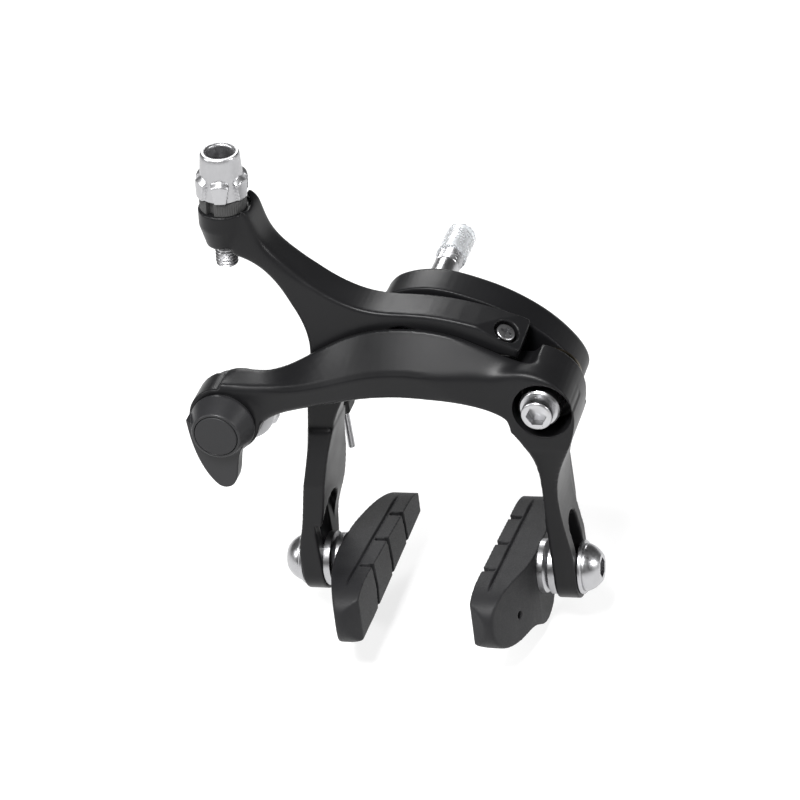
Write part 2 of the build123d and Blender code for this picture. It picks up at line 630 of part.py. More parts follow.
ANCHOR_X = -39.5
ANCHOR_Z = -17.5
CARRIER_BACK = 21.4
CARRIER_TAPPED = 24.0
PLATE_FRONT = 19.6
PLATE_BACK = 17.8
with BuildPart() as anchor_carrier:
    with BuildSketch(front_plane(CARRIER_BACK)):
        with Locations((QR_X, QR_Z)):
            Circle(JOURNAL_R)
    extrude(amount=LEVER_FRONT - 1.2 - CARRIER_BACK)
    with BuildSketch(front_plane(CARRIER_BACK)):
        with Locations((QR_X + 0.6, QR_Z - 1.6)):
            Circle(8.2)
    extrude(amount=FRONT_ARM_BACK - 0.3 - CARRIER_BACK)
    with BuildSketch(front_plane(CARRIER_BACK)):
        with Locations((ANCHOR_X, ANCHOR_Z)):
            Circle(2.45)
    extrude(amount=CARRIER_TAPPED + 0.1 - CARRIER_BACK, mode=Mode.SUBTRACT)

with BuildPart() as cable_clamp_plate:
    with BuildSketch(front_plane(PLATE_BACK)):
        with Locations((ANCHOR_X, ANCHOR_Z)):
            RectangleRounded(11.5, 8.6, 1.6)
            Circle(2.5, mode=Mode.SUBTRACT)
    extrude(amount=PLATE_FRONT - PLATE_BACK)
    with BuildSketch(Plane.XY.offset(ANCHOR_Z - 6)):
        with Locations((ANCHOR_X - 3.6, -PLATE_FRONT)):
            Circle(0.7)
    extrude(amount=12, mode=Mode.SUBTRACT)

with BuildPart() as cable_anchor_bolt:
    with BuildSketch(front_plane(14.2)):
        with Locations((ANCHOR_X, ANCHOR_Z)):
            RegularPolygon(4.0, 6, major_radius=False)
    extrude(amount=PLATE_BACK - 14.2)
    with BuildSketch(front_plane(PLATE_BACK)):
        with Locations((ANCHOR_X, ANCHOR_Z)):
            Circle(2.45)
    extrude(amount=CARRIER_TAPPED - PLATE_BACK)

# ---- barrel adjuster -----------------------------------------------------------------------------
LOBES = 6
SKIRT_HEIGHT = 4.4
with BuildPart() as barrel_adjuster:
    with BuildSketch(adjuster_plane(ADJ_SKIRT_LOW)):
        Circle(ADJ_SKIRT_R)
    extrude(amount=SKIRT_HEIGHT)
    with BuildSketch(adjuster_plane(ADJ_SKIRT_LOW + SKIRT_HEIGHT)):
        Circle(ADJ_SKIRT_R)
    with BuildSketch(adjuster_plane(ADJ_SKIRT_LOW + SKIRT_HEIGHT + 0.8)):
        Circle(4.9)
    loft()
    with BuildSketch(adjuster_plane(ADJ_SKIRT_LOW + SKIRT_HEIGHT + 0.8)):
        Circle(4.9)
    with BuildSketch(adjuster_plane(ADJ_TOP)):
        Circle(ADJ_TOP_R)
    loft()
    with BuildSketch(adjuster_plane(ADJ_SKIRT_LOW - 1)):
        with PolarLocations(ADJ_SKIRT_R + 0.9, LOBES):
            SlotCenterToCenter(1.4, 2.6, rotation=90)
    extrude(amount=4.6, mode=Mode.SUBTRACT)
    with BuildSketch(adjuster_plane(ADJ_TAIL)):
        Circle(ADJ_THREAD_R)
    extrude(amount=ADJ_SKIRT_LOW + 1 - ADJ_TAIL)
    with BuildSketch(adjuster_plane(ADJ_TOP - FERRULE_DEPTH)):
        Circle(FERRULE_R)
    extrude(amount=FERRULE_DEPTH + 1, mode=Mode.SUBTRACT)
    with BuildSketch(adjuster_plane(-14)):
        Circle(CABLE_R)
    extrude(amount=40, mode=Mode.SUBTRACT)

with BuildPart() as adjuster_detent_ring:
    with BuildSketch(adjuster_plane(ADJ_BOSS_TOP)):
        Circle(5.1)
        Circle(ADJ_THREAD_R + 0.1, mode=Mode.SUBTRACT)
        with Locations((0.0, -5.0)):
            Rectangle(2.2, 2.0, mode=Mode.SUBTRACT)
    extrude(amount=ADJ_RING_TOP - ADJ_BOSS_TOP)

# ---- clear cap on the thread ------------------------------------------------------------------------
with BuildPart() as thread_cap:
    with BuildSketch(Plane.XY):
        with BuildLine():
            Polyline((0, BOLT_TIP + 0.05), (CORE_R + 0.03, BOLT_TIP + 0.05),
                     (CORE_R + 0.03, CAP_START + 0.1), (CAP_R, CAP_START + 0.1), (CAP_R, CAP_END - 1.2),
                     (CAP_R - 0.5, CAP_END - 0.3), (CAP_R - 1.4, CAP_END), (0, CAP_END),
                     close=True)
        make_face()
    revolve(axis=Axis.Y)

# ---- brake shoes: rubber shoe, threaded stud, two spherical washers, flat washer, cap nut ------------
SHOE_FRONT_Y = -STUD_DEPTH - SHOE_LENGTH / 2
SHOE_REAR_Y = -STUD_DEPTH + SHOE_LENGTH / 2
GROOVES = (-12.0, 0.0, 12.0)
HALF = SHOE_LENGTH / 2


def mirrored(part, side):
    """The right-hand piece for side 1, its mirror image for side -1."""
    if side == 1:
        return part
    return part.mirror(Plane.YZ)


def outward_plane(x):
    """Sketch plane at x facing +X, local x back along +Y from the stud, local y up from it."""
    return Plane(origin=(x, -STUD_DEPTH, -REACH), x_dir=(0, 1, 0), z_dir=(1, 0, 0))


def stud_profile_plane():
    return Plane(origin=(0, -STUD_DEPTH, -REACH), x_dir=(1, 0, 0), z_dir=(0, 0, 1))


STUD_AXIS = Axis((0, -STUD_DEPTH, -REACH), (1, 0, 0))


def shoe_plane(x):
    """As outward_plane, but turned with the shoe, whose front end points a little upwards."""
    pitch = math.radians(PAD_PITCH)
    return Plane(origin=(x, -STUD_DEPTH, -REACH), x_dir=(0, math.cos(pitch), -math.sin(pitch)),
                 z_dir=(1, 0, 0))


def shoe_top_plane(height):
    """Plane looking down on the shoe at a height above the stud, local x outwards."""
    pitch = math.radians(PAD_PITCH)
    lift = Vector(0, math.sin(pitch), math.cos(pitch)) * height
    return Plane(origin=Vector(0, -STUD_DEPTH, -REACH) + lift, x_dir=(1, 0, 0),
                 z_dir=(0, math.sin(pitch), math.cos(pitch)))


with BuildPart() as shoe:
    # outline from the side: long nose in front, a fin hanging below the stud
    with BuildSketch(shoe_plane(PAD_X)):
        with BuildLine():
            Spline((-HALF, -0.6), (-HALF + 1.6, 3.2), (-HALF + 6.0, 5.2), (-12.0, PAD_TOP + 0.2),
                   (0.0, PAD_TOP + 0.2), (12.0, PAD_TOP + 0.1), (HALF - 5.0, 4.9),
                   (HALF - 1.2, 3.0), (HALF, -0.6), (HALF - 2.2, -4.6), (HALF - 7.0, -7.0),
                   (9.0, -10.6), (2.0, -13.4), (-4.0, -12.6), (-9.0, -10.2), (-15.0, -9.6),
                   (-HALF + 4.0, -8.0), (-HALF + 0.9, -4.8), periodic=True)
        make_face()
    extrude(amount=PAD_BACK_X - PAD_X)
    # outline from above: curved back, thickest at the stud
    with BuildSketch(shoe_top_plane(-20)):
        with BuildLine():
            Polyline((PAD_X - 1, -HALF + 3.0), (16.4, -HALF - 0.1), (17.8, -HALF - 0.1))
            Spline((17.8, -HALF - 0.1), (20.6, -18.0), (22.3, -10.0), (PAD_BACK_X, -5.5),
                   (PAD_BACK_X, 5.5), (22.3, 10.0), (20.6, 18.0), (17.8, HALF + 0.1))
            Polyline((17.8, HALF + 0.1), (16.4, HALF + 0.1), (PAD_X - 1, HALF - 3.0),
                     (PAD_X - 1, -HALF + 3.0))
        make_face()
    extrude(amount=40, mode=Mode.INTERSECT)
    # friction block: narrow top facet, and an underside drawn back towards the body
    with BuildSketch(Plane.XZ.offset(-40)):
        with BuildLine():
            Polyline((PAD_X - 1, -REACH + PAD_LOW - 1), (PAD_X, -REACH + PAD_LOW + 0.4),
                     (PAD_SEAM_X, -REACH + PAD_LOW - 2.0), (19.4, -REACH - 9.0),
                     (21.4, -REACH - 22.0), (PAD_X - 1, -REACH - 22.0), close=True)
        make_face()
    extrude(amount=120, mode=Mode.SUBTRACT)
    # seam between block and body
    with BuildSketch(shoe_top_plane(PAD_TOP - 0.35)):
        with Locations((PAD_SEAM_X + 0.3, 0)):
            Rectangle(0.5, SHOE_LENGTH - 9)
    extrude(amount=2, mode=Mode.SUBTRACT)
    # water grooves across the friction face and over its top facet
    for along in GROOVES:
        with BuildSketch(shoe_plane(PAD_X - 1)):
            with BuildLine():
                Polyline((along - 1.9, -14.0), (along + 0.1, -0.6), (along - 1.1, 7.0),
                         (along + 0.2, 7.0), (along + 1.4, -0.6), (along - 0.6, -14.0), close=True)
            make_face()
        extrude(amount=2.2, mode=Mode.SUBTRACT)
        with BuildSketch(shoe_plane(PAD_X - 1)):
            with BuildLine():
                Polyline((along - 1.5, 7.0), (along - 0.95, PAD_TOP - 0.9),
                         (along + 0.0, PAD_TOP - 0.9), (along + 0.6, 7.0), close=True)
            make_face()
        extrude(amount=PAD_SEAM_X - PAD_X + 0.6, mode=Mode.SUBTRACT)
    # small blind hole near the front of the outer side
    with BuildSketch(shoe_plane(PAD_SEAM_X + 3.4)):
        with Locations((-16.0, -3.4)):
            Circle(0.85)
    extrude(amount=10, mode=Mode.SUBTRACT)
    # moulded-in base of the stud
    with BuildSketch(shoe_plane(18.0)):
        RectangleRounded(24.0, 6.6, 2.0)
    extrude(amount=1.6, mode=Mode.SUBTRACT)
    with BuildSketch(outward_plane(18.0)):
        Circle(M6_R + 0.05)
    extrude(amount=10, mode=Mode.SUBTRACT)

STUD_END = 34.4
with BuildPart() as stud:
    with BuildSketch(shoe_plane(18.0)):
        RectangleRounded(24.0, 6.6, 2.0)
    extrude(amount=1.6)
    with BuildSketch(outward_plane(18.0)):
        Circle(M6_R)
    extrude(amount=STUD_END - 18.0)

SEAT_X = LEG_INNER
DOME_EDGE_X = 24.0
with BuildPart() as convex_washer:
    with BuildSketch(stud_profile_plane()):
        with BuildLine():
            Polyline((PAD_BACK_X, M6_R + 0.1), (PAD_BACK_X, WASHER_R), (DOME_EDGE_X, WASHER_R))
            ThreePointArc((DOME_EDGE_X, WASHER_R), (25.5, 4.6), (26.2, M6_R + 0.1))
            Line((26.2, M6_R + 0.1), (PAD_BACK_X, M6_R + 0.1))
        make_face()
    revolve(axis=STUD_AXIS)

with BuildPart() as concave_washer:
    with BuildSketch(stud_profile_plane()):
        with BuildLine():
            Polyline((SEAT_X, M6_R + 0.1), (SEAT_X, WASHER_R + 0.2), (25.3, WASHER_R + 0.2))
            ThreePointArc((25.3, WASHER_R + 0.2), (25.95, 4.9), (26.45, M6_R + 0.1))
            Line((26.45, M6_R + 0.1), (SEAT_X, M6_R + 0.1))
        make_face()
    revolve(axis=STUD_AXIS)

with BuildPart() as flat_washer:
    with BuildSketch(outward_plane(LEG_OUTER)):
        Circle(6.0)
        Circle(M6_R + 0.1, mode=Mode.SUBTRACT)
    extrude(amount=1.0)
    rims = flat_washer.edges().filter_by(GeomType.CIRCLE).sort_by(SortBy.RADIUS)[-2:]
    chamfer(rims, 0.25)

NUT_START = LEG_OUTER + 1.0
NUT_END = 36.3
with BuildPart() as cap_nut:
    with BuildSketch(stud_profile_plane()):
        with BuildLine():
            Polyline((NUT_START, M6_R + 0.02), (NUT_START, 5.3), (NUT_START + 0.5, 5.3))
            Spline((NUT_START + 0.5, 5.3), (NUT_START + 1.7, 4.8), (NUT_END - 0.8, 4.0),
                   (NUT_END, 3.1))
            Polyline((NUT_END, 3.1), (NUT_END, 0), (STUD_END + 0.1, 0),
                     (STUD_END + 0.1, M6_R + 0.02), (NUT_START, M6_R + 0.02))
        make_face()
    revolve(axis=STUD_AXIS)
    with BuildSketch(outward_plane(NUT_END)):
        RegularPolygon(2.0, 6, major_radius=False)
    extrude(amount=-1.5, mode=Mode.SUBTRACT)

# ---- export ---------------------------------------------------------------------------------------------
PIECES = {
    "rear_bracket": rear_bracket,
    "centre_bolt": centre_bolt,
    "rear_seat_washer": rear_seat_washer,
    "spring_holder": spring_holder,
    "return_spring": return_spring,
    "rear_thrust_washer": rear_thrust_washer,
    "front_thrust_washer": front_thrust_washer,
    "centre_nut": centre_nut,
    "rear_arm": rear_arm,
    "arm_bushing": arm_bushing,
    "link_pin": link_pin,
    "link_slider": link_slider,
    "centring_screw": centring_screw,
    "spring_slider_left": spring_slider_left,
    "front_arm": front_arm,
    "spring_slider_right": spring_slider_right,
    "side_pivot_bolt": side_pivot_bolt,
    "side_pivot_sleeve": side_pivot_sleeve,
    "side_pivot_washer": side_pivot_washer,
    "side_pivot_nut": side_pivot_nut,
    "quick_release_lever": quick_release_lever,
    "lever_cap": lever_cap,
    "lever_washer": lever_washer,
    "anchor_carrier": anchor_carrier,
    "cable_clamp_plate": cable_clamp_plate,
    "cable_anchor_bolt": cable_anchor_bolt,
    "barrel_adjuster": barrel_adjuster,
    "adjuster_detent_ring": adjuster_detent_ring,
    "thread_cap": thread_cap,
}
for name, piece in PIECES.items():
    piece.part.label = name
    export_step(piece.part, f"parts/{name}.step")

SHOE_PIECES = {
    "shoe": shoe,
    "shoe_stud": stud,
    "convex_washer": convex_washer,
    "concave_washer": concave_washer,
    "flat_washer": flat_washer,
    "cap_nut": cap_nut,
}
for name, piece in SHOE_PIECES.items():
    for side, side_name in ((1, "right"), (-1, "left")):
        handed = mirrored(piece.part, side)
        handed.label = f"{name}_{side_name}"
        export_step(handed, f"parts/{name}_{side_name}.step")
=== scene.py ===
import json
import math

import bmesh
import bpy
import numpy as np
from mathutils import Matrix, Vector


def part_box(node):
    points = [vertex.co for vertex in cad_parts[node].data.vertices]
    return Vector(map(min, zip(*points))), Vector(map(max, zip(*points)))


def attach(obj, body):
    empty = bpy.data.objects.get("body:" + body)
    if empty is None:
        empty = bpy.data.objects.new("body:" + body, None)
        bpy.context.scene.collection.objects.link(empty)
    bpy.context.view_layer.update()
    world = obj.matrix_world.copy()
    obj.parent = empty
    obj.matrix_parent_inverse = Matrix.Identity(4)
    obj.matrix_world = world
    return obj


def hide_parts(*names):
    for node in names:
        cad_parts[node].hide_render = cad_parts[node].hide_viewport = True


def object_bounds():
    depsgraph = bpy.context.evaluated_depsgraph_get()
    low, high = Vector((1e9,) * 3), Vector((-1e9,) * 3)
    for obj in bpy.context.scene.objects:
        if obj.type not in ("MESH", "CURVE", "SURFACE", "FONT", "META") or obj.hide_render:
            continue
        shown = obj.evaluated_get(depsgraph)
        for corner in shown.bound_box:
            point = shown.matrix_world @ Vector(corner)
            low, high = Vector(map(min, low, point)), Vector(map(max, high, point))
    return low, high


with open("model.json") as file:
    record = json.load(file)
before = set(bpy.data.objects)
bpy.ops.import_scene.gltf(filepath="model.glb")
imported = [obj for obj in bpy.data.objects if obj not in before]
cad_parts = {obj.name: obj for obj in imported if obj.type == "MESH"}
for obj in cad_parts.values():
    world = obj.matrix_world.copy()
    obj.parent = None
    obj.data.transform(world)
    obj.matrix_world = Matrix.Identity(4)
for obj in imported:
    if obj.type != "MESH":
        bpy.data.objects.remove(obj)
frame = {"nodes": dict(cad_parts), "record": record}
cad_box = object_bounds()
nodes = frame["nodes"]
record = frame["record"]
mounts = {m["name"]: m for m in record["mounts"]}
MM = 0.001

# ---- camera ---------------------------------------------------------------
AZIMUTH, ELEVATION, ROLL = map(math.radians, (19.206, 29.954, -9.247))
DISTANCE = 0.70
LENS = 142.76
SENSOR = 36
# how far the frame's middle sits from the part's origin, as shares of the frame's width
SHIFT = (-0.04085875, -0.130255)
CLIP = (0.01, 10)


def camera():
    """Looks at the origin from the front and above, with the frame rolled a little."""
    level = Vector((math.cos(AZIMUTH), math.sin(AZIMUTH), 0))
    look = Vector((-math.sin(AZIMUTH) * math.cos(ELEVATION),
                   math.cos(AZIMUTH) * math.cos(ELEVATION), -math.sin(ELEVATION)))
    upright = level.cross(look)
    side = math.cos(ROLL) * level + math.sin(ROLL) * upright
    up = -math.sin(ROLL) * level + math.cos(ROLL) * upright
    data = bpy.data.cameras.new("camera")
    data.lens = LENS
    data.sensor_width = SENSOR
    data.shift_x, data.shift_y = SHIFT
    data.clip_start, data.clip_end = CLIP
    cam = bpy.data.objects.new("camera", data)
    cam.matrix_world = Matrix((side, up, -look)).transposed().to_4x4()
    cam.location = -look * DISTANCE
    bpy.context.scene.collection.objects.link(cam)
    bpy.context.scene.camera = cam


# ---- materials --------------------------------------------------------------
class Nodes:
    """A few words for building one material's node tree."""

    def __init__(self, name):
        self.mat = bpy.data.materials.new(name)
        self.mat.use_nodes = True
        self.tree = self.mat.node_tree
        self.shader = self.tree.nodes["Principled BSDF"]
        self.coords = self.add("ShaderNodeTexCoord").outputs["Object"]

    def add(self, kind, **values):
        node = self.tree.nodes.new(kind)
        for key, value in values.items():
            setattr(node, key, value)
        return node

    def link(self, a, b):
        self.tree.links.new(a, b)

    def noise(self, size, detail=2.0):
        """Noise whose features are about size metres across."""
        node = self.add("ShaderNodeTexNoise")
        node.inputs["Scale"].default_value = 1 / size
        node.inputs["Detail"].default_value = detail
        node.inputs["Roughness"].default_value = 0.5
        self.link(self.coords, node.inputs["Vector"])
        return node.outputs["Fac"]

    def spread(self, value, low, high):
        """The middle of a noise's range, carried to low..high."""
        node = self.add("ShaderNodeMapRange")
        node.inputs["From Min"].default_value = 0.3
        node.inputs["From Max"].default_value = 0.7
        node.inputs["To Min"].default_value = low
        node.inputs["To Max"].default_value = high
        self.link(value, node.inputs["Value"])
        return node.outputs["Result"]

    def ramp(self, value, dark, light):
        """A colour between dark and light."""
        node = self.add("ShaderNodeMix", data_type="RGBA")
        self.link(value, node.inputs[0])
        node.inputs[6].default_value = (*dark, 1)
        node.inputs[7].default_value = (*light, 1)
        return node.outputs[2]

    def sum(self, a, b):
        """Two values added."""
        node = self.add("ShaderNodeMath", operation="ADD")
        self.link(a, node.inputs[0])
        self.link(b, node.inputs[1])
        return node.outputs[0]

    def bump(self, value, height):
        node = self.add("ShaderNodeBump")
        node.inputs["Strength"].default_value = 1.0
        node.inputs["Distance"].default_value = height
        self.link(value, node.inputs["Height"])
        return node.outputs["Normal"]

    def set(self, **values):
        """Sets the shader's sockets, by link or by value."""
        for key, value in values.items():
            socket = self.shader.inputs[key.replace("_", " ")]
            if isinstance(value, bpy.types.NodeSocket):
                self.link(value, socket)
            else:
                socket.default_value = value


def coated_black(name, tone, low, high, gloss, grain=0.00012):
    """Paint or plastic: patches in tone and roughness, and a fine grain."""
    m = Nodes(name)
    patches = m.noise(0.012, 3.0)
    fine = m.noise(grain, 2.0)
    m.set(Base_Color=m.ramp(m.spread(patches, 0, 1), tone, tuple(c * 1.25 for c in tone)))
    rough = m.sum(m.spread(patches, low, high), m.spread(fine, -0.03, 0.03))
    m.set(Roughness=rough, Normal=m.bump(fine, 0.000006), Specular_IOR_Level=gloss)
    return m.mat


def metal(name, tone, low, high):
    """Bare metal with a fine grain and duller patches."""
    m = Nodes(name)
    fine = m.noise(0.0006, 3.0)
    patches = m.noise(0.004, 2.0)
    m.set(Base_Color=m.ramp(m.spread(patches, 0, 1), tuple(c * 0.9 for c in tone), tone))
    rough = m.sum(m.spread(fine, low, high), m.spread(patches, -0.04, 0.04))
    m.set(Roughness=rough, Normal=m.bump(fine, 0.000004), Metallic=1.0)
    return m.mat


def rubber(name):
    """Dull rubber with a coarser grain."""
    m = Nodes(name)
    patches = m.noise(0.006, 3.0)
    grain = m.noise(0.00022, 4.0)
    m.set(Base_Color=m.ramp(m.spread(patches, 0, 1), (0.008, 0.008, 0.009), (0.013, 0.013, 0.014)))
    m.set(Roughness=m.spread(grain, 0.46, 0.66), Normal=m.bump(grain, 0.00003))
    m.set(Specular_IOR_Level=0.22)
    return m.mat


def clear(name):
    """Cloudy clear plastic."""
    m = Nodes(name)
    cloud = m.noise(0.002, 3.0)
    m.set(Base_Color=(0.9, 0.92, 0.94, 1), Roughness=m.spread(cloud, 0.18, 0.34))
    m.set(Transmission_Weight=0.75, IOR=1.46, Normal=m.bump(cloud, 0.000006))
    return m.mat


MATERIALS = {
    "arm_black": coated_black("satin_black", (0.006, 0.006, 0.0065), 0.33, 0.41, 0.17),
    "bracket_black": coated_black("bracket_black", (0.005, 0.005, 0.0055), 0.34, 0.42, 0.15),
    "lever_black": coated_black("lever_black", (0.013, 0.013, 0.014), 0.36, 0.44, 0.3),
    "cap_plastic": coated_black("cap_plastic", (0.012, 0.012, 0.013), 0.5, 0.6, 0.3, 0.00025),
    "holder_plastic": coated_black("holder_plastic", (0.01, 0.01, 0.01), 0.5, 0.6, 0.35),
    "ring_plastic": coated_black("ring_plastic", (0.03, 0.03, 0.03), 0.5, 0.65, 0.4, 0.0004),
    "bolt_steel": metal("plated_steel", (0.42, 0.42, 0.43), 0.28, 0.38),
    "pivot_steel": metal("bright_steel", (0.46, 0.46, 0.47), 0.28, 0.36),
    "barrel_alloy": metal("silver_alloy", (0.44, 0.44, 0.45), 0.36, 0.44),
    "bushing_brass": metal("bushing_bronze", (0.09, 0.075, 0.05), 0.3, 0.4),
    "pad_rubber": rubber("moulded_rubber"),
    "clear_cap": clear("clear_cap"),
}
SLOT = {s["node"]: s["material_slot"] for s in record["subparts"]}
BODY = {n: b for b, names in record["behaviour"]["bodies"].items() for n in names}


# ---- mesh helpers --------------------------------------------------------------
SHARE = 0.5          # of the way to its neighbours' middle that a point goes in one pass
SHRUNK = 0.6         # of that taken back in a region that is to melt


def smoothed(mesh, passes, back=1.03, hold=None):
    """Rounds a mesh by passes in and back; hold(points) gives 0 to 1 for how freely they move."""
    count = len(mesh.vertices)
    co = np.empty(count * 3, np.float32)
    mesh.vertices.foreach_get("co", co)
    co = co.reshape(-1, 3).astype(np.float64)
    edges = np.empty(len(mesh.edges) * 2, np.int32)
    mesh.edges.foreach_get("vertices", edges)
    a, b = edges.reshape(-1, 2).T
    valence = np.bincount(a, minlength=count) + np.bincount(b, minlength=count)
    free = np.ones(count) if hold is None else hold(co)
    for _ in range(passes):
        for amount in (SHARE, -SHARE * back):
            pull = np.stack([np.bincount(a, co[b, k], count) + np.bincount(b, co[a, k], count)
                             for k in range(3)], 1) / valence[:, None] - co
            co += pull * (amount * free)[:, None]
    mesh.vertices.foreach_set("co", co.astype(np.float32).ravel())
    mesh.update()


def near(point, reach):
    """1 at the point, falling to 0 at reach, as a hold function for smoothed()."""
    centre = np.array(point) * MM

    def share(co):
        gap = np.linalg.norm((co - centre) / (np.array(reach) * MM), axis=1)
        return np.clip(1.5 - 1.5 * gap, 0, 1)
    return share


def smooth(x):
    x = np.clip(x, 0, 1)
    return x * x * (3 - 2 * x)


PRESS_FROM, PRESS_RUN = 6.0, 17.0        # along X
BAR_FRONT, PRESS_DEPTH = 32.0, 2.0       # along -Y


def press_front_arm(mesh):
    """Eases the bar's front face back to the face of the pivot boss."""
    co = np.empty(len(mesh.vertices) * 3, np.float32)
    mesh.vertices.foreach_get("co", co)
    co = co.reshape(-1, 3)
    ease = smooth((co[:, 0] / MM - PRESS_FROM) / PRESS_RUN)
    front = -(BAR_FRONT - PRESS_DEPTH * ease) * MM
    pressed = np.where(co[:, 0] > PRESS_FROM * MM, front, co[:, 1])
    co[:, 1] = np.maximum(co[:, 1], pressed)
    mesh.vertices.foreach_set("co", co.ravel())


def coated(o, node):
    """The node's material, shaded smooth."""
    o.data.materials.clear()
    o.data.materials.append(MATERIALS[SLOT[node]])
    for face in o.data.polygons:
        face.use_smooth = True


def dressed(o, node):
    """Gives a new object the node's material, body and slot, and puts it in the node's place."""
    coated(o, node)
    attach(o, BODY[node])
    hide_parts(node)


def organic(node, voxel, passes, softer, keep):
    """A remeshed, rounded copy of a CAD node, which then stands for it."""
    copy = bpy.data.objects.new(node + "_form", nodes[node].data.copy())
    bpy.context.scene.collection.objects.link(copy)
    remesh = copy.modifiers.new("remesh", "REMESH")
    remesh.mode = "VOXEL"
    remesh.voxel_size = voxel * MM
    bpy.context.view_layer.update()
    graph = bpy.context.evaluated_depsgraph_get()
    mesh = bpy.data.meshes.new_from_object(copy.evaluated_get(graph))
    copy.modifiers.clear()
    copy.data = mesh
    if node == "front_arm":
        press_front_arm(mesh)
    smoothed(mesh, passes)
    for point, reach, more in softer:
        region = near(point, reach)

        def hold(co, region=region):
            return region(co) * (keep(co) if keep else 1.0)
        smoothed(mesh, more, back=SHRUNK, hold=hold)
    dressed(copy, node)


BEVEL = 0.12
BEVEL_ANGLE = math.radians(35)


def bevelled(node):
    """Breaks the sharp edges of a turned or stamped piece."""
    bevel = nodes[node].modifiers.new("bevel", "BEVEL")
    bevel.width = BEVEL * MM
    bevel.segments = 2
    bevel.limit_method = "ANGLE"
    bevel.angle_limit = BEVEL_ANGLE
    bevel.harden_normals = True


camera()
for name, o in nodes.items():
    coated(o, name)

# cast and moulded pieces: voxel size in mm, and passes of rounding
ORGANIC = {
    "front_arm": (0.3, 14), "rear_arm": (0.3, 14), "rear_bracket": (0.3, 8),
    "quick_release_lever": (0.15, 8), "shoe_left": (0.2, 6), "shoe_right": (0.2, 6),
    "spring_slider_left": (0.2, 4), "spring_slider_right": (0.2, 4),
}

SIDE_PIVOT = (29.6, -10.2)        # X and Z
WELL_R, WELL_FADE = 7.2, 1.2


def off_pivot(co):
    """0 at the well and bore of the side pivot, 1 away from them."""
    x, z = SIDE_PIVOT
    gap = np.hypot(co[:, 0] / MM - x, co[:, 2] / MM - z)
    return np.clip((gap - WELL_R) / WELL_FADE, 0, 1)


# places that flow into each other: centre and reach in mm, and passes
SOFTER = {
    "front_arm": [((21, -31, -3), (16, 10, 13), 300), ((-34, -30, -9), (9, 9, 9), 40),
                  ((28, -24, -22), (8, 12, 9), 60)],
    "rear_arm": [((-28, -21, 23), (12, 12, 12), 200), ((-24, -20, -22), (10, 14, 14), 60),
                 ((-22, -19, 8), (10, 12, 12), 30)],
}
for shoe in ("shoe_left", "shoe_right"):
    low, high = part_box(shoe)
    nose = [(low.x + high.x) / 2 / MM, low.y / MM, (low.z + high.z) / 2 / MM]
    SOFTER[shoe] = [(nose, (12, 11, 13), 90)]
for name, (voxel, passes) in ORGANIC.items():
    keep = off_pivot if name == "front_arm" else None
    organic(name, voxel, passes, SOFTER.get(name, ()), keep)


# ---- pieces built here ----------------------------------------------------------
def grid_mesh(name, rows):
    """A skin over closed rings of points."""
    rings, around = len(rows), len(rows[0])
    mesh = bpy.data.meshes.new(name)
    faces = []
    for i in range(rings - 1):
        for j in range(around):
            k = (j + 1) % around
            faces.append((i * around + j, i * around + k,
                          (i + 1) * around + k, (i + 1) * around + j))
    mesh.from_pydata([tuple(p) for row in rows for p in row], [], faces)
    return mesh


def stand_in(name, mesh, node, sharp):
    """Puts a mesh in the scene in place of a CAD node; edges over sharp degrees stay crisp."""
    work = bmesh.new()
    work.from_mesh(mesh)
    bmesh.ops.remove_doubles(work, verts=work.verts, dist=1e-7)
    bmesh.ops.recalc_face_normals(work, faces=work.faces)
    work.to_mesh(mesh)
    work.free()
    o = bpy.data.objects.new(name, mesh)
    bpy.context.scene.collection.objects.link(o)
    dressed(o, node)
    mesh.set_sharp_from_angle(angle=math.radians(sharp))


def frame_at(origin, axis):
    """Origin, two directions across and one along an axis."""
    along = np.array(axis, float)
    along /= np.linalg.norm(along)
    first = np.array((1.0, 0, 0)) if abs(along[0]) < 0.9 else np.array((0, 1.0, 0))
    across = first - along * first.dot(along)
    across /= np.linalg.norm(across)
    return np.array(origin, float), across, np.cross(along, across), along


def turned(place, profile, around, shape):
    """Rings of a turned piece: profile holds (along, radius); shape(angle, t, r) alters r."""
    start, across, over, along = place
    rows = []
    for t, r in profile:
        ring = []
        for a in np.linspace(0, 2 * math.pi, around, endpoint=False):
            out = (across * math.cos(a) + over * math.sin(a)) * shape(a, t, r)
            ring.append(start + (along * t + out) * MM)
        rows.append(ring)
    return rows


THREAD_FADE = 0.6


def thread_depth(pitch, depth, first, last):
    """A shape for turned() that cuts a helical groove from first to last."""
    def cut(a, t, r):
        phase = (t / pitch - a / (2 * math.pi)) % 1.0
        groove = np.interp(phase, (0, 0.12, 0.44, 0.56, 0.88, 1.0), (1, 1, 0, 0, 1, 1))
        rise = np.clip((t - first) / THREAD_FADE, 0, 1)
        fall = np.clip((last - t) / THREAD_FADE, 0, 1)
        return r - depth * groove * (rise * fall)
    return cut


def steps(a, b, gap):
    """Even steps from a to b, about gap apart."""
    return list(np.linspace(a, b, max(2, int(abs(b - a) / gap) + 1)))


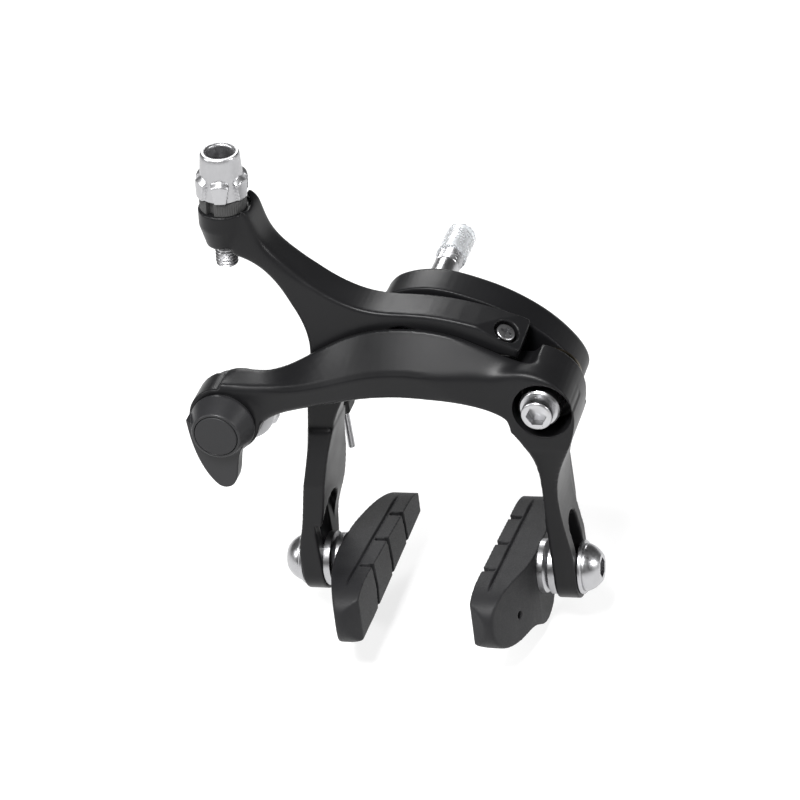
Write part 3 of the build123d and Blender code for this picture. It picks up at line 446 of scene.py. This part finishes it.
# the centre bolt: shank, and the thread on its tail
bolt_low, bolt_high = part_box("centre_bolt")
front, tail = bolt_low.y / MM, bolt_high.y / MM
M6_R, M6_PITCH, M6_DEPTH = 2.95, 1.0, 0.42
PIVOT_R, BUSH_R = 3.2, 3.0
THREAD_FROM = 11.8
bolt = [(front, 0.0), (front, 2.5), (-23.5, M6_R), (-21.2, M6_R), (-21.2, BUSH_R), (-14.0, BUSH_R),
        (-14.0, PIVOT_R), (0.0, PIVOT_R), (0.0, M6_R), (THREAD_FROM - 0.2, M6_R)]
bolt += [(t, M6_R - 0.01) for t in steps(THREAD_FROM, tail - 0.9, 0.08)]
bolt += [(tail - 0.1, 2.1), (tail, 1.9), (tail, 0.0)]
bolt_thread = thread_depth(M6_PITCH, M6_DEPTH, THREAD_FROM, tail - 0.4)
bolt_rings = turned(frame_at((0, 0, 0), (0, 1, 0)), bolt, 96, bolt_thread)
stand_in("centre_bolt_form", grid_mesh("centre_bolt", bolt_rings), "centre_bolt", 40)

# the barrel adjuster: socket, tapered head, skirt with lobes, threaded tail
seat = mounts["ferrule_seat"]
LEAN = np.array(seat["axis"], float)
SEAT_UP = 13.3
BASE = np.array(seat["pos_m"], float) - LEAN * SEAT_UP * MM
LOBES = 6
TOP, SKIRT, LOW = 17.8, 12.2, 7.8        # along the adjuster, in mm from BASE
CONE_LOW_R, CONE_TOP_R = 4.95, 4.25
SKIRT_R = 5.68
TAIL_END, TAIL_R, TAIL_BORE_R = -9.8, 2.44, 1.1
THREAD_PITCH, THREAD_DEPTH, THREAD_TOP = 0.8, 0.36, 2.0
SOCKET_R = 3.0


def cone_radius(t):
    return float(np.interp(t, (LOW, TOP - 0.5), (CONE_LOW_R, CONE_TOP_R)))


def lobed(a, t, r):
    """Lobes stand out of the cone; the hollows between them widen downwards."""
    if t > SKIRT + 1.2 or t < LOW or r < 3.6:
        return r
    cone = cone_radius(t)
    pitch = 2 * math.pi / LOBES
    off = abs((a + 0.30) % pitch - pitch / 2)        # 0 in the middle of a hollow
    hollow = np.interp(t, (LOW, SKIRT - 0.6), (0.25, 0.10))
    wall = smooth((off - hollow) / 0.07)
    rise = smooth((SKIRT + 0.5 - t) / 1.3 + 0.35 * np.cos((off - pitch / 2) * 5.2))
    return cone + (r - cone) * wall * rise


body = [(LOW, 2.45), (LOW, 3.6), (LOW, 4.4), (LOW, 5.0), (LOW, 5.5), (LOW + 0.2, SKIRT_R - 0.02)]
body += [(t, SKIRT_R) for t in steps(LOW + 0.4, SKIRT + 1.1, 0.12)]
body += [(t, cone_radius(t)) for t in steps(SKIRT + 1.3, TOP - 0.6, 0.6)]
body += [(TOP - 0.35, 4.16), (TOP - 0.12, 4.05), (TOP, 3.9), (TOP, 3.45), (TOP - 0.1, 3.2),
         (TOP - 0.35, 3.05), (TOP - 0.6, SOCKET_R), (TOP - 9.0, SOCKET_R),
         (TOP - 9.0, TAIL_BORE_R), (TAIL_END, TAIL_BORE_R), (TAIL_END, 1.9), (TAIL_END + 0.2, 2.2)]
body += [(t, TAIL_R) for t in steps(TAIL_END + 0.4, THREAD_TOP, 0.07)]
body += [(LOW, TAIL_R)]
tail_thread = thread_depth(THREAD_PITCH, THREAD_DEPTH, TAIL_END, THREAD_TOP)


def adjuster_shape(a, t, r):
    """Lobes above, thread below; the bore stays plain."""
    if t >= LOW:
        return lobed(a, t, r)
    return tail_thread(a, t, r) if r > TAIL_R - 0.04 else r


barrel_rings = turned(frame_at(BASE, LEAN), body, 180, adjuster_shape)
stand_in("barrel_adjuster_form", grid_mesh("barrel_adjuster", barrel_rings), "barrel_adjuster", 38)

# the detent ring: fine vertical ribs, and a notch at the front
ring_place = frame_at(BASE, LEAN)
RING_LOW, RING_TOP = 4.47, 7.48          # along the adjuster, from BASE
RING_R, RING_BORE_R = 5.09, 2.6
RIBS = 60
NOTCH_AT, NOTCH_HALF, NOTCH_DEPTH = -0.28, 0.19, 1.1     # angles from the front, depth in mm


def ribbed(a, t, r):
    """Ribs round the outside, and the notch."""
    if r < 4.85:
        return r
    front = math.atan2(-ring_place[2][1], -ring_place[1][1])
    turn = (a - front + math.pi) % (2 * math.pi) - math.pi
    if abs(turn - NOTCH_AT) < NOTCH_HALF:
        return r - NOTCH_DEPTH
    return r - 0.06 - 0.05 * math.cos(a * RIBS)


ring = [(RING_LOW, RING_BORE_R), (RING_LOW, 3.8), (RING_LOW, 4.95), (4.6, 5.08)]
ring += [(t, RING_R) for t in steps(4.8, 7.2, 0.4)]
ring += [(7.4, 5.05), (RING_TOP, 4.86), (RING_TOP, RING_BORE_R), (RING_LOW, RING_BORE_R)]
ring_rings = turned(ring_place, ring, 360, ribbed)
stand_in("detent_ring_form", grid_mesh("detent_ring", ring_rings), "adjuster_detent_ring", 35)

BUILT = ("centre_bolt", "barrel_adjuster", "adjuster_detent_ring")
for name in nodes:
    if name not in ORGANIC and name not in BUILT:
        bevelled(name)


# ---- floor and light -------------------------------------------------------------
def floor():
    """A pale plane just under the part."""
    low = cad_box[0].z - 1.5 * MM
    size = 3.0
    data = bpy.data.meshes.new("floor")
    data.from_pydata([(-size, -size, low), (size, -size, low), (size, size, low),
                      (-size, size, low)], [], [(0, 1, 2, 3)])
    o = bpy.data.objects.new("floor", data)
    bpy.context.scene.collection.objects.link(o)
    m = Nodes("pale_floor")
    m.set(Base_Color=(0.32, 0.32, 0.32, 1), Roughness=m.spread(m.noise(0.05), 0.55, 0.65))
    m.set(Specular_IOR_Level=0.1, Emission_Color=(1, 1, 1, 1), Emission_Strength=0.80)
    data.materials.append(m.mat)


def area(name, place, size, power):
    """A soft square light that faces the origin."""
    data = bpy.data.lights.new(name, "AREA")
    data.energy = power
    data.shape = "SQUARE"
    data.size = size
    o = bpy.data.objects.new(name, data)
    o.location = place
    o.rotation_mode = "QUATERNION"
    o.rotation_quaternion = Vector(place).to_track_quat("Z", "Y")
    bpy.context.scene.collection.objects.link(o)


floor()
area("top", (-0.04, -0.39, 0.67), 0.28, 12.0)
area("front_left", (-0.72, -0.40, 0.42), 0.22, 3.5)
area("right", (0.85, -0.10, 0.35), 0.20, 3.5)
area("back", (-0.25, 0.75, 0.45), 0.30, 2.5)
world = bpy.data.worlds.new("world")
world.use_nodes = True
background = world.node_tree.nodes["Background"]
background.inputs["Color"].default_value = (1, 1, 1, 1)
background.inputs["Strength"].default_value = 0.08
bpy.context.scene.world = world
bpy.context.scene.view_settings.view_transform = "Standard"
